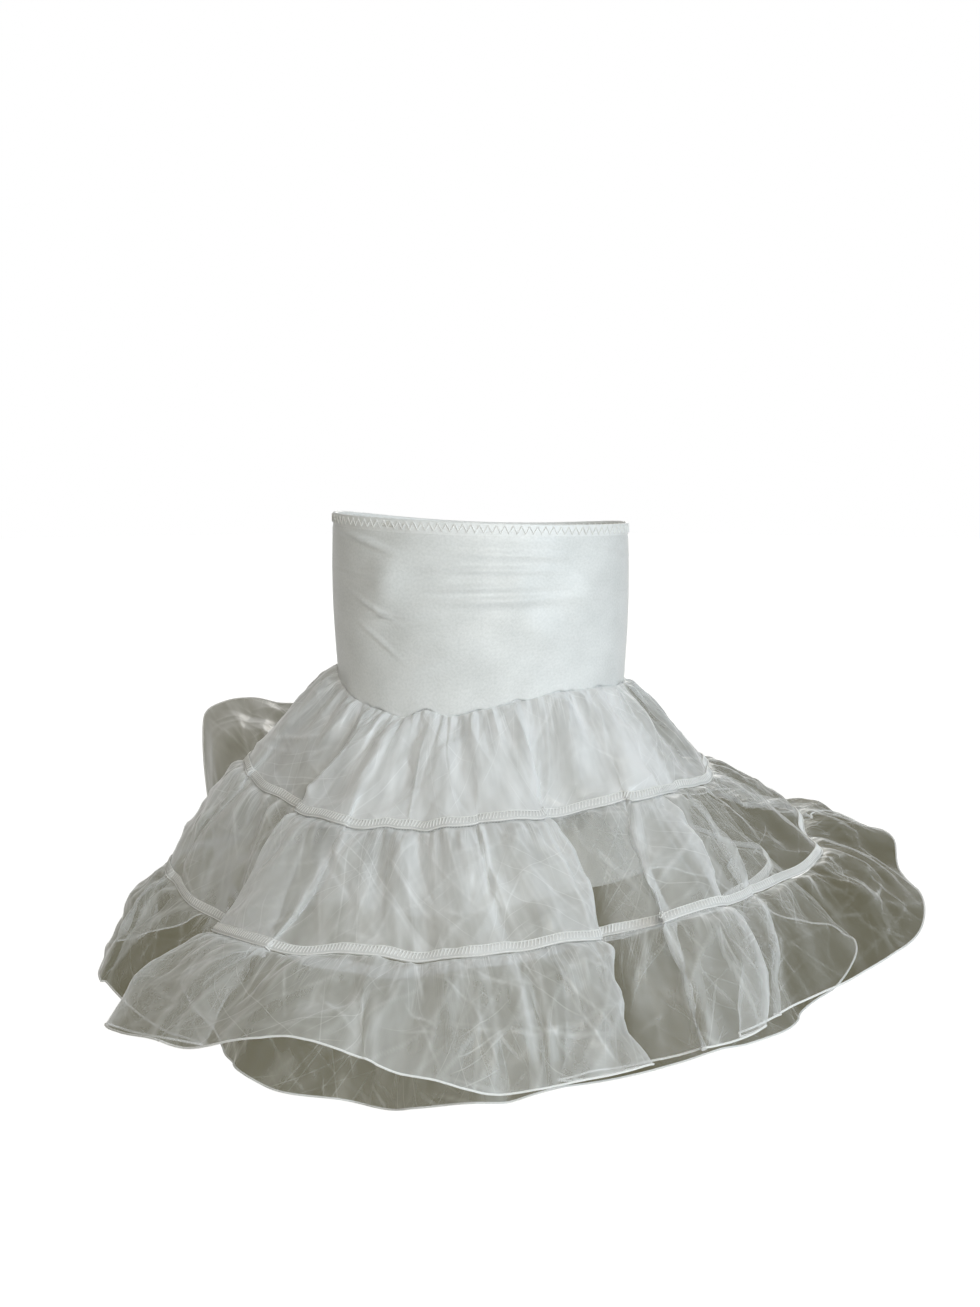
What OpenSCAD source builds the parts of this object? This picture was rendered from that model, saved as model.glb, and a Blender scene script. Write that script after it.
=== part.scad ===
// Tiered organza petticoat on a stretch satin yoke, in the shape that it takes when it is worn.
// The origin is the middle of the waist opening, +Z points up and the front faces -Y.
// Angles run round the body: 0 is the right side, 90 the back, 180 the left side and 270 the front.

/* [Yoke] */
// Width of the waist, side to side
waist_width = 340; // [280:1:400]
// Depth of the waist, front to back
waist_depth = 240; // [200:1:290]
// Width of the yoke at its lower seam
seam_width = 334; // [280:1:400]
// Depth of the yoke at its lower seam
seam_depth = 246; // [200:1:290]
// Height of the yoke at the back
yoke_height = 165; // [130:1:230]
// How far the satin stands out between waist and seam
yoke_swell = 3; // [0:0.5:10]
// How much lower the yoke seam sits at the front
front_dip = 42; // [0:1:50]
// How much lower the yoke seam sits at the right side
right_dip = 20; // [0:1:30]
// How much higher the waist sits on the left side
waist_side_rise = 12; // [0:1:25]
// How much lower the waist sits at the back
waist_back_drop = 13; // [0:1:25]
// Thickness of the stretch satin
satin_wall = 0.8; // [0.5:0.1:1.5]

/* [Waist casing] */
// Width of the elastic
elastic_width = 8; // [5:0.5:14]
// Thickness of the elastic
elastic_wall = 1.2; // [0.8:0.1:2]
// Room between the elastic and its casing
casing_clearance = 0.3; // [0.2:0.1:0.6]
// How far the casing is turned down below the elastic
casing_turning = 2; // [1:0.5:5]

/* [Outer tiers] */
// Length of the upper tier, from seam to seam along the cloth
upper_length = 150; // [110:1:190]
// Length of the middle tier
middle_length = 150; // [110:1:190]
// Length of the lower tier
lower_length = 132; // [100:1:170]
// Flare of the upper tier from upright, in degrees
upper_flare_angle = 46; // [38:0.5:52]
// Flare of the middle tier
middle_flare_angle = 45; // [38:0.5:52]
// Flare of the lower tier
lower_flare_angle = 45; // [38:0.5:52]
// How much more the lower two tiers flare on the right side and less on the left
right_lean_angle = 11; // [0:0.5:13]
// Depth of the folds at the upper tape, each way
upper_fold = 16; // [0:1:20]
// Depth of the folds at the lower tape
lower_fold = 36; // [0:1:42]
// Depth of the folds at the hem
hem_fold = 52; // [0:1:60]
// Depth of the gathers below each seam
gather_depth = 4; // [0:0.5:6]

/* [Inner tiers] */
// Length of each inner tier
inner_length = 140; // [100:1:170]
// How much steeper the inner tiers hang, in degrees
inner_steeper_angle = 13; // [11:0.5:18]
// Depth of the inner layer's folds at its hem
inner_fold = 16; // [0:1:20]

/* [Layers] */
// Thickness of the organza
organza_wall = 0.5; // [0.3:0.1:0.8]
// Turning of each layer inside the yoke
seam_allowance = 8; // [5:1:14]
// Room between the layers where they are sewn to the yoke
layer_clearance = 0.8; // [0.6:0.1:0.9]
// Gap between a tier and the gathered edge of the next
seam_gap = 0.3; // [0.2:0.1:0.6]

/* [Trim] */
// Width of the tape over each tier seam
tape_width = 11; // [6:0.5:14]
// Thickness of the tape
tape_wall = 0.7; // [0.4:0.1:1.2]
// Room between the tape and the tier under it
tape_gap = 0.5; // [0.3:0.1:0.8]
// Thickness of the rolled hem
hem_roll = 2.4; // [1.6:0.2:4]

/* [Lining] */
// Length of the lining below the yoke
lining_length = 222; // [120:1:260]
// Flare of the lining from upright, in degrees
lining_flare_angle = 9; // [4:0.5:14]
// Thickness of the lining
lining_wall = 0.5; // [0.3:0.1:0.8]
// Depth of the lining's soft waves at its edge
lining_wave = 4; // [0:0.5:6]

/* [Hidden] */

satin_white = [0.90, 0.91, 0.91];
organza_white = [0.80, 0.81, 0.80];
tape_white = [0.93, 0.93, 0.92];
elastic_white = [0.86, 0.86, 0.84];
lining_white = [0.88, 0.87, 0.84];

// Layers, from the outside in
OUTER = 0;
INNER = 1;
LINING = 2;

// Points round a loop: the outer layer's folds take the finer one
fold_points = 96;
plain_points = 48;

// Where the yoke seam is lowest, and how narrow its dips are
dip_angle = 243;
dip_power = 4.6;
casing_room = elastic_wall + 2 * casing_clearance;
casing_depth = satin_wall + casing_clearance + elastic_width + casing_turning;
outer_lengths = [upper_length, middle_length, lower_length];
outer_flares = [upper_flare_angle, middle_flare_angle, lower_flare_angle];
flare_leans = [0, right_lean_angle, right_lean_angle];
fold_depths = [0, upper_fold, lower_fold, hem_fold];
// Share of a tier's length at which its gathers are deepest, below the yoke
gather_start = 0.12;
// How much a fold's crest rises, as a share of how far it stands out
crest_rise = 0.4;
inner_flutes = 8;
lining_waves = 6;

// Where the lower tiers kick up and out: angle, half-width, added flare of the lower tier, squareness
kicks = [[130, 15.5, 82, 7], [225, 14, 16, 2], [248, 15, 34, 2], [284, 16, -9, 2], [345, 30, 8, 2],
         [28, 18, 24, 2]];
// Share of a kick in each tier
kick_shares = [0, 0.2, 1];

// The outer layer's folds, each step the same length of cloth: its angle at the yoke, its angle at the hem,
// and how far it stands out (1 on a crest, -1 in a valley). Where the hem angle runs back, the cloth is
// tucked under.
fold_path = [
    [0, 2, -0.3], [10, 13, -0.1], [20, 22, -0.8], [30, 31, -0.7], [41, 42, 0.6], [52, 53, 1],
    [63, 64, 0], [73, 73, -0.9], [83, 83, -0.2], [94, 94, 0.9], [105, 104, 0.5], [115, 113, -0.8],
    [125, 123, 0], [136, 134, 0.8], [147, 145, 0.6], [157, 155, -0.8], [167, 165, -0.6], [177, 176, 0.1],
    [187, 186, 0.3], [197, 197, 0], [208, 211, -0.8], [219, 221, -0.7], [228, 217, 0.3], [235, 225, 0.9],
    [242, 237, 0.9], [249, 249, 0.6], [256, 261, 0.7], [263, 272, 0.9], [270, 282, 0.8], [277, 289, 0.3],
    [286, 287, -0.7], [296, 291, -1], [307, 295, -0.1], [316, 300, 0.8], [326, 307, 0.2], [336, 315, -0.5],
    [345, 328, -0.3], [353, 344, -0.1]];

function mix(a, b, share) = a + (b - a) * share;
function wrapped(i, n) = i - n * floor(i / n);
function unit(v) = v / norm(v);
function total(list) = [for (x = list) 1] * list;
function angle_between(u, v) = abs(wrapped(u - v + 180, 360) - 180);

// Closed curve through the fold path, at a share of the way round
function path_step(k) = let (n = len(fold_path), turn = 360 * floor(k / n))
    fold_path[wrapped(k, n)] + [turn, turn, 0];
function curve(a, b, c, d, t) =
    0.5 * (2 * b + (c - a) * t + (2 * a - 5 * b + 4 * c - d) * t * t + (3 * b - a - 3 * c + d) * t * t * t);
function fold_at(share) = let (x = share * len(fold_path), k = floor(x))
    curve(path_step(k - 1), path_step(k), path_step(k + 1), path_step(k + 2), x - k);
folds = [for (i = [0:fold_points - 1]) fold_at(i / fold_points)];

// Plan of the yoke at an angle: height 0 is its lower seam and height 1 the waist
function yoke_radii(height) =
    mix([seam_width, seam_depth], [waist_width, waist_depth], height) / 2
    + yoke_swell * sin(180 * height) * [1, 1];
function oval_normal(radii, u) = unit([radii.y * cos(u), radii.x * sin(u)]);
function yoke_plan(height, u, inset) = let (radii = yoke_radii(height))
    [radii.x * cos(u), radii.y * sin(u)] - inset * oval_normal(radii, u);

// Heights of the yoke's two edges at an angle
function dip(u, lowest) = pow((1 + cos(u - lowest)) / 2, dip_power);
function seam_z(u) = -yoke_height - front_dip * dip(u, dip_angle) - right_dip * dip(u, 0);
function waist_z(u) = waist_side_rise * (1 - cos(u)) / 2 - waist_back_drop * pow(max(sin(u), 0), 2);

// One loop of the yoke's cloth, at a height or a distance below it
function yoke_loop(height, inset, lowered = 0) = [for (i = [0:plain_points - 1])
    let (u = 360 * i / plain_points,
        at = height - lowered / (waist_z(u) - seam_z(u)),
        p = yoke_plan(at, u, inset))
    [p.x, p.y, mix(seam_z(u), waist_z(u), at)]];

// How far in from the yoke's outside a layer's own outside lies at the seam
function layer_inset(layer) = satin_wall + layer_clearance + layer * (organza_wall + layer_clearance);

// Flare of each tier of a layer at an angle
function kick(u) = total([for (k = kicks) k[2] * exp(-pow(angle_between(u, k[0]) / k[1], k[3]))]);
function flares(layer, u) = layer == LINING ? [lining_flare_angle, lining_flare_angle, lining_flare_angle]
    : outer_flares + flare_leans * cos(u)
    + (layer == OUTER ? kick_shares * kick(u) : -inner_steeper_angle * [1, 1, 1]);
function lengths(layer) = layer == OUTER ? outer_lengths
    : layer == INNER ? inner_length * [1, 1, 1] : [lining_length, 0, 0];

// Way out and down from the yoke seam to a place on a layer. Places count tiers: 1.5 is halfway down the
// second.
function tier_share(k, place) = max(k == 2 ? place - k : min(place - k, 1), 0);
function hang(layer, u, place) = let (size = lengths(layer), flare = flares(layer, u))
    total([for (k = [0:2]) tier_share(k, place) * size[k] * [sin(flare[k]), -cos(flare[k])]]);

// Fold of a layer at loop point i: its angle at a place, and how far it stands out there
function fold_depth(place) = let (k = min(floor(place), 2))
    mix(fold_depths[k], fold_depths[k + 1], place - k);
function outer_angle(i, place) = mix(folds[i][0], folds[i][1], place / 3);
function plain_angle(i) = 360 * i / plain_points;
function layer_angle(layer, i, place) = layer == OUTER ? outer_angle(i, place) : plain_angle(i);
function stand_out(layer, i, place) = layer == OUTER ? folds[i][2] * fold_depth(place)
    : layer == INNER ? inner_fold * place / 3 * cos(inner_flutes * plain_angle(i))
    : lining_wave * place * cos(lining_waves * plain_angle(i));
function loop_points(layer) = layer == OUTER ? fold_points : plain_points;

// One loop of a layer's outside at a place below the seam
function layer_loop(layer, place) = [for (i = [0:loop_points(layer) - 1])
    let (u = layer_angle(layer, i, place),
        fold = stand_out(layer, i, place),
        fall = hang(layer, u, place),
        p = yoke_plan(0, u, layer_inset(layer)) + (fall.x + fold) * oval_normal(yoke_radii(0), u))
    [p.x, p.y, seam_z(u) + fall.y + crest_rise * fold]];

// The turning of a layer, inside the yoke and above its seam
function turning_loop(layer) = [for (i = [0:loop_points(layer) - 1])
    let (u = layer_angle(layer, i, 0),
        height = seam_allowance / (waist_z(u) - seam_z(u)),
        p = yoke_plan(height, u, layer_inset(layer)))
    [p.x, p.y, seam_z(u) + seam_allowance]];

// Outward normals of a band of loops, which run down the cloth
function band_normals(band) = let (n = len(band[0]), last = len(band) - 1)
    [for (row = [0:last]) [for (i = [0:n - 1])
        let (along = band[row][(i + 1) % n] - band[row][(i + n - 1) % n],
            down = band[min(row + 1, last)][i] - band[max(row - 1, 0)][i])
        unit(cross(down, along))]];
// A band moved out along its normals, with every second point of a row moved by that row's gather as well
function moved(band, distance, gathers) = let (normals = band_normals(band))
    [for (row = [0:len(band) - 1]) [for (i = [0:len(band[row]) - 1])
        band[row][i] + normals[row][i] * (distance + (i % 2 == 1 ? gathers[row] : 0))]];
function no_gathers(band) = [for (row = band) 0];
function reversed(list) = [for (i = [len(list) - 1:-1:0]) list[i]];

// Closed ring whose section runs through the loops: down its outside and, from the turn on, up its inside.
// Both sides of the wall are split along the same diagonal, so that a thin wall doesn't cross itself.
module ring_solid(loops, turn) {
    rows = len(loops);
    n = len(loops[0]);
    polyhedron(
        points = [for (loop = loops) each loop],
        faces = [for (row = [0:rows - 1], i = [0:n - 1])
            let (next = (row + 1) % rows, j = (i + 1) % n,
                a = row * n + i, b = row * n + j, c = next * n + j, d = next * n + i)
            each row < turn ? [[a, b, c], [a, c, d]] : [[a, b, d], [b, c, d]]]);
}

// Sheet of cloth with its outside on the given band, or a gap away from it
module cloth_ring(band, wall, gathers, gap = 0) {
    ring_solid(concat(moved(band, gap + wall, gathers), reversed(moved(band, gap, gathers))), len(band));
}

// Places of the tape's upper edge and of the gathered edge below a seam
function tape_place(layer, tier) = tier + 1 - tape_width / lengths(layer)[tier];
function gathered_place(layer, tier) = tier + seam_gap / lengths(layer)[tier];
function tape_band(layer, tier) = [layer_loop(layer, tape_place(layer, tier)), layer_loop(layer, tier + 1)];

// The upper tier's gathers stand out in the outer layer and draw in in the inner layer, clear of each other
module upper_tier(layer) {
    band = concat(
        [turning_loop(layer), layer_loop(layer, 0), layer_loop(layer, gather_start)],
        tape_band(layer, 0));
    gather = layer == OUTER ? gather_depth : -gather_depth;
    color(organza_white)
        cloth_ring(band, organza_wall, [0, 0, gather, 0, 0], -organza_wall);
}

module middle_tier(layer) {
    band = concat([layer_loop(layer, gathered_place(layer, 1))], tape_band(layer, 1));
    color(organza_white)
        cloth_ring(band, organza_wall, [-gather_depth, 0, 0], -organza_wall);
}

module lower_tier(layer) {
    band = [for (place = [gathered_place(layer, 2), 2.5, 3]) layer_loop(layer, place)];
    color(organza_white)
        cloth_ring(band, organza_wall, [-gather_depth, -gather_depth / 2, 0], -organza_wall);
}

// Tape sewn flat over the lower edge of a tier
module seam_tape(layer, tier) {
    band = tape_band(layer, tier);
    color(tape_white)
        cloth_ring(band, tape_wall, no_gathers(band), tape_gap);
}

// Rolled edge beyond the lower tier, square to the edge of the cloth wherever that runs
module rolled_hem(layer) {
    edge = layer_loop(layer, 3);
    above = layer_loop(layer, 2.5);
    n = len(edge);
    half = hem_roll / 2;
    frames = [for (i = [0:n - 1])
        let (along = unit(edge[(i + 1) % n] - edge[(i + n - 1) % n]),
            down = edge[i] - above[i],
            away = unit(down - (down * along) * along))
        [away, cross(away, along)]];
    color(tape_white)
        ring_solid([for (side = [[-1, 0], [0, 1], [1, 0], [0, -1]]) [for (i = [0:n - 1])
            edge[i] + (seam_gap + half) * frames[i][0] + half * side * frames[i]]], 2);
}

module yoke() {
    heights = [1, 0.7, 0.35, 0];
    pocket_out = satin_wall;
    pocket_in = satin_wall + casing_room;
    flap_in = pocket_in + satin_wall;
    color(satin_white)
        ring_solid(concat(
            [for (height = heights) yoke_loop(height, 0)],
            [for (k = [3:-1:1]) yoke_loop(heights[k], satin_wall)],
            [yoke_loop(1, pocket_out, satin_wall),
                yoke_loop(1, pocket_in, satin_wall),
                yoke_loop(1, pocket_in, casing_depth),
                yoke_loop(1, flap_in, casing_depth),
                yoke_loop(1, flap_in)]), len(heights));
}

module waist_elastic() {
    top = satin_wall + casing_clearance;
    outside = satin_wall + casing_clearance;
    color(elastic_white)
        ring_solid([
            yoke_loop(1, outside, top),
            yoke_loop(1, outside, top + elastic_width),
            yoke_loop(1, outside + elastic_wall, top + elastic_width),
            yoke_loop(1, outside + elastic_wall, top)], 2);
}

module lining() {
    band = [turning_loop(LINING), layer_loop(LINING, 0), layer_loop(LINING, 1)];
    color(lining_white)
        cloth_ring(band, lining_wall, no_gathers(band), -lining_wall);
}

module outer_upper_tier() { upper_tier(OUTER); }
module outer_middle_tier() { middle_tier(OUTER); }
module outer_lower_tier() { lower_tier(OUTER); }
module outer_upper_tape() { seam_tape(OUTER, 0); }
module outer_lower_tape() { seam_tape(OUTER, 1); }
module outer_hem() { rolled_hem(OUTER); }
module inner_upper_tier() { upper_tier(INNER); }
module inner_middle_tier() { middle_tier(INNER); }
module inner_lower_tier() { lower_tier(INNER); }
module inner_upper_tape() { seam_tape(INNER, 0); }
module inner_lower_tape() { seam_tape(INNER, 1); }
module inner_hem() { rolled_hem(INNER); }

yoke();
waist_elastic();
lining();
outer_upper_tier();
outer_middle_tier();
outer_lower_tier();
outer_upper_tape();
outer_lower_tape();
outer_hem();
inner_upper_tier();
inner_middle_tier();
inner_lower_tier();
inner_upper_tape();
inner_lower_tape();
inner_hem();
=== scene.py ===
# %% [markdown]
# # A tiered organza petticoat
# The object is a short petticoat: a smooth stretch satin yoke over waist and hips, a plain white lining,
# and two layers of sheer organza. Each layer is three gathered tiers, every seam is covered by a ribbed
# tape, and the lowest tier ends in a rolled hem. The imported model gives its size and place. Here each
# piece of cloth is made again with the folds, gathers and stitches that a plain solid leaves out.

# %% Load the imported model
import bmesh
import bpy
import numpy as np
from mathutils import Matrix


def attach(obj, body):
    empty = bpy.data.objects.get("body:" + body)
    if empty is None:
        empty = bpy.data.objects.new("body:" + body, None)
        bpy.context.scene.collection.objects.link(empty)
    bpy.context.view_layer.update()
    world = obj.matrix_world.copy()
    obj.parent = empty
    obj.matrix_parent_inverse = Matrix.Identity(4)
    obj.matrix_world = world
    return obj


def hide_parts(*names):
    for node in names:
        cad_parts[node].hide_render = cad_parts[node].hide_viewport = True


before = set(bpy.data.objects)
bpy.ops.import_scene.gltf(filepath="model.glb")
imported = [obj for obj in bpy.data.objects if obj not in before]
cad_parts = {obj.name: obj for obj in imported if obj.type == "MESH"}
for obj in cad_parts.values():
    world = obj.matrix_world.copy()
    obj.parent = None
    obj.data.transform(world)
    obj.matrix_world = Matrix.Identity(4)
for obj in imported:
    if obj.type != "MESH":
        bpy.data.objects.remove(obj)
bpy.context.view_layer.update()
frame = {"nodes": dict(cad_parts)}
scene = bpy.context.scene
print("nodes:", ", ".join(frame["nodes"]))

# %% [markdown]
# ## Camera
# The photograph looks at the front from a step away and a little above the waist, so that the lower tiers
# spread towards the viewer and the waist opening is a thin dark sliver. A 36 mm sensor on the long side
# of the frame with a 44 mm lens gives the same perspective.

# %% Camera
LENS_MM, SENSOR_MM = 44.07, 36
CAMERA_PLACE, CAMERA_TILT = (0.0108, -1.85, 0.110), 81.9
camera_data = bpy.data.cameras.new("camera")
camera_data.lens = LENS_MM
camera_data.sensor_width = SENSOR_MM
camera = bpy.data.objects.new("camera", camera_data)
camera.location = CAMERA_PLACE
camera.rotation_euler = (np.radians(CAMERA_TILT), 0, 0)
scene.collection.objects.link(camera)
scene.camera = camera
print("camera at", tuple(round(x, 3) for x in camera.location))

# %% [markdown]
# ## Room
# Room and floor look white where the camera sees them directly. Sheer cloth needs something darker behind
# it, or white threads vanish on white: where the camera looks through cloth, the Transparent Depth of
# Light Path is above zero, and room and floor show the dim warm grey of an ordinary room instead. The
# cloth itself stays plain white. Materials, the room and the stitches are all trees of nodes, which are
# added, set and wired in the same way each time, so two small helpers come first: one for any node, and
# one for Math nodes.

# %% Helpers for nodes


def add_node(tree, kind, inputs=None, **settings):
    """A node with its settings. Inputs, by name or number, are plain values or sockets to wire from."""
    node = tree.nodes.new(kind)
    for key, value in settings.items():
        setattr(node, key, value)
    for key, value in (inputs or {}).items():
        if isinstance(value, bpy.types.NodeSocket):
            tree.links.new(value, node.inputs[key])
        else:
            node.inputs[key].default_value = value
    return node


def math(tree, operation, *values):
    """The result of a Math node: each value is a number or a socket."""
    return add_node(tree, "ShaderNodeMath", dict(enumerate(values)), operation=operation).outputs[0]


# %% Room
WHITE, ROOM_GREY = (1, 1, 1, 1), (0.106, 0.098, 0.056, 1)
ROOM_LIGHT, ROOM_STRENGTH = (1.0, 0.95, 0.76, 1), 0.115


def mix_shader(tree, share, first, second):
    """The first shader where share is 0, and the second where it is 1."""
    return add_node(tree, "ShaderNodeMixShader", {0: share, 1: first, 2: second}).outputs[0]


def by_look(tree, lighting, seen, veiled):
    """One shader of what lights the scene, what the eye sees directly and what it sees through cloth."""
    path = add_node(tree, "ShaderNodeLightPath").outputs
    glossy = math(tree, "MAXIMUM", path["Is Glossy Ray"], path["Is Transmission Ray"])
    eye = math(tree, "MAXIMUM", path["Is Camera Ray"], glossy)
    through = math(tree, "GREATER_THAN", path["Transparent Depth"], 0.5)
    return mix_shader(tree, eye, lighting, mix_shader(tree, through, seen, veiled))


def plain_room():
    world = bpy.data.worlds.new("room")
    world.use_nodes = True
    tree = world.node_tree
    around = tree.nodes["Background"]
    around.inputs["Color"].default_value = ROOM_LIGHT
    around.inputs["Strength"].default_value = ROOM_STRENGTH
    white = add_node(tree, "ShaderNodeBackground", {"Color": WHITE})
    dim = add_node(tree, "ShaderNodeBackground", {"Color": ROOM_GREY})
    whole = by_look(tree, around.outputs[0], white.outputs[0], dim.outputs[0])
    tree.links.new(whole, tree.nodes["World Output"].inputs["Surface"])
    return world


scene.world = plain_room()
scene.view_settings.view_transform = "Standard"
scene.cycles.transparent_max_bounces = 40
print("room:", scene.world.name)

# %% [markdown]
# ## Floor
# A petticoat that is worn hangs well clear of the ground, so the floor lies far below the waist. It is a
# large pale disc. A white glow that grows with the distance lets it run into the white room without an
# edge, and the part under the skirt still takes its shadow.

# %% Floor
FLOOR_Z, FLOOR_RADIUS, FLOOR_PAINT, FLOOR_ROUGHNESS = -0.95, 14, (0.80, 0.80, 0.80, 1), 0.9
# Distance from the middle, and strength of the glow there
GLOW_NEAR, GLOW_FAR = (1.2, 0.72), (4.0, 1.0)


def plain_floor():
    material = bpy.data.materials.new("pale_floor")
    material.use_nodes = True
    tree = material.node_tree
    surface = tree.nodes["Principled BSDF"]
    surface.inputs["Base Color"].default_value = FLOOR_PAINT
    surface.inputs["Roughness"].default_value = FLOOR_ROUGHNESS
    around = add_node(tree, "ShaderNodeTexCoord")
    distance = add_node(tree, "ShaderNodeVectorMath", {0: around.outputs["Object"]}, operation="LENGTH")
    glow = add_node(tree, "ShaderNodeMapRange", {
        "Value": distance.outputs["Value"], "From Min": GLOW_NEAR[0], "From Max": GLOW_FAR[0],
        "To Min": GLOW_NEAR[1], "To Max": GLOW_FAR[1]})
    white = add_node(tree, "ShaderNodeEmission", {"Color": WHITE, "Strength": glow.outputs[0]})
    lit = add_node(tree, "ShaderNodeAddShader", {0: surface.outputs[0], 1: white.outputs[0]})
    dim = add_node(tree, "ShaderNodeEmission", {"Color": ROOM_GREY})
    whole = by_look(tree, surface.outputs[0], lit.outputs[0], dim.outputs[0])
    tree.links.new(whole, tree.nodes["Material Output"].inputs["Surface"])
    return material


ring = np.linspace(0, 2 * np.pi, 64, endpoint=False)
rim = [(FLOOR_RADIUS * np.cos(a), FLOOR_RADIUS * np.sin(a), FLOOR_Z) for a in ring]
floor_mesh = bpy.data.meshes.new("floor")
floor_mesh.from_pydata(rim, [], [tuple(range(len(rim)))])
floor_mesh.materials.append(plain_floor())
floor = bpy.data.objects.new("floor", floor_mesh)
scene.collection.objects.link(floor)
print("floor at", FLOOR_Z)

# %% [markdown]
# ## Light
# The photograph is lit softly from the right and the front, and the left side falls into a warm shadow. A
# cool lamp stands like a window at the right front, and a nearly white one in front. A weak warm one
# keeps the left side open, and a soft one hangs above. A lamp behind, which the photograph doesn't need,
# gives the cloth light in views of the back.

# %% Lamps
MIDDLE = (0, 0, -0.25)
# Place, what the lamp points at, diameter, power in watts, colour
LAMPS = {
    "window": ((1.5, -1.9, 0.6), MIDDLE, 1.1, 23, (0.76, 0.89, 1.0)),
    "front": ((0.4, -2.35, 0.7), MIDDLE, 0.9, 21, (1.0, 0.985, 0.92)),
    "fill": ((-1.9, -1.2, 0.4), MIDDLE, 1.2, 0.6, (1.0, 0.86, 0.52)),
    "top": ((0.1, 0.2, 2.0), (0, 0, -0.3), 1.4, 4, (1.0, 0.99, 0.96)),
    "back": ((0.5, 2.3, 0.7), MIDDLE, 1.2, 15, (1.0, 0.98, 0.94)),
}


def soft_lamp(name, place, aim, size, power, colour):
    data = bpy.data.lights.new(name, "AREA")
    data.shape, data.size, data.energy, data.color = "DISK", size, power, colour
    lamp = bpy.data.objects.new(name, data)
    lamp.location = place
    way = np.array(aim) - np.array(place)
    lamp.rotation_euler = (
        np.arctan2(np.hypot(way[0], way[1]), -way[2]), 0, np.arctan2(way[1], way[0]) - np.pi / 2)
    scene.collection.objects.link(lamp)


for name, values in LAMPS.items():
    soft_lamp(name, *values)

# %% [markdown]
# ## Finishes
# Every cloth here is white, so the weave, the sheen and the way light goes through tell them apart. Three
# effects are used again and again and are node groups: a fine weave of crossing threads, a slow mottling
# that keeps large plain areas from looking like plastic, and the thin lines of creases and gathers.

# %% Node groups for weave, mottling and thin lines


def new_group(name, output, **inputs):
    """A shader group with one output value. Its inputs are values with a default, or vectors with None."""
    group = bpy.data.node_groups.new(name, "ShaderNodeTree")
    for socket, value in inputs.items():
        kind = "NodeSocketVector" if value is None else "NodeSocketFloat"
        item = group.interface.new_socket(socket, in_out="INPUT", socket_type=kind)
        if value is not None:
            item.default_value = value
    group.interface.new_socket(output, in_out="OUTPUT", socket_type="NodeSocketFloat")
    return group, group.nodes.new("NodeGroupInput").outputs, group.nodes.new("NodeGroupOutput").inputs


def make_weave():
    group, given, made = new_group("fine_weave", "Height", Vector=None, Threads=900.0, Slant=0.0)
    parts = add_node(group, "ShaderNodeSeparateXYZ", {0: given["Vector"]}).outputs
    turn = math(group, "MULTIPLY", given["Threads"], 2 * np.pi)
    leaning = math(group, "MULTIPLY_ADD", parts["Y"], given["Slant"], parts["X"])
    across = math(group, "SINE", math(group, "MULTIPLY", leaning, turn))
    along = math(group, "SINE", math(group, "MULTIPLY", parts["Y"], turn))
    both = math(group, "MULTIPLY", across, along)
    group.links.new(math(group, "MULTIPLY_ADD", both, 0.5, 0.5), made["Height"])
    return group


def make_mottle():
    group, given, made = new_group("slow_mottle", "Value", Vector=None, Scale=20.0, Low=0.0, High=1.0)
    noise = add_node(group, "ShaderNodeTexNoise", {
        "Vector": given["Vector"], "Scale": given["Scale"], "Detail": 2.0})
    spread = add_node(group, "ShaderNodeMapRange", {
        "Value": noise.outputs[0], "From Min": 0.3, "From Max": 0.7,
        "To Min": given["Low"], "To Max": given["High"]})
    group.links.new(spread.outputs[0], made["Value"])
    return group


def make_thin_lines():
    """Lines where a drawn-out noise passes its middle value, kept only in some patches of the cloth."""
    group, given, made = new_group(
        "thin_lines", "Value", Vector=None, Cloth=None, Scale=40.0, Width=0.01, Patches=14.0)
    slow, patches = (
        add_node(group, "ShaderNodeTexNoise", {
            "Vector": given[vector], "Scale": given[scale], "Detail": 0.0}).outputs[0]
        for vector, scale in (("Vector", "Scale"), ("Cloth", "Patches")))
    away = math(group, "ABSOLUTE", math(group, "SUBTRACT", slow, 0.5))
    line = math(group, "SUBTRACT", 1.0, math(group, "DIVIDE", away, given["Width"]))
    some = add_node(group, "ShaderNodeMapRange", {"Value": patches, "From Min": 0.52, "From Max": 0.62})
    kept = math(group, "MULTIPLY", math(group, "MAXIMUM", line, 0.0), some.outputs[0])
    group.links.new(kept, made["Value"])
    return group


weave, mottle, thin_lines = make_weave(), make_mottle(), make_thin_lines()
print("node groups:", weave.name, mottle.name, thin_lines.name)

# %% [markdown]
# The satin, the lining, the thread and the elastic are opaque, and the tape is nearly so, because it is
# open between its ribs. They read the UV map of a sheet, which is in metres of cloth, so that a thread is
# the same size on every piece. Ribs and stitches have no such map and stay plain, because they are too
# small for a weave to show. The satin's grain sparkles a little, and where it is doubled over the elastic
# it lets less light through and is paler.

# %% Opaque finishes
GRAIN_SCALE, WEAVE_DEPTH, SHEEN_ROUGHNESS = 380.0, 0.0003, 0.4
CASING_EDGE_UV, TAPE_ALPHA = 0.0128, 0.7


def new_finish(name):
    material = bpy.data.materials.new(name)
    material.use_nodes = True
    tree = material.node_tree
    return material, tree, tree.nodes["Principled BSDF"]


def use_group(tree, group, **inputs):
    return add_node(tree, "ShaderNodeGroup", inputs, node_tree=group).outputs[0]


def cloth_uv(tree):
    return add_node(tree, "ShaderNodeUVMap", uv_map="cloth").outputs[0]


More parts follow.
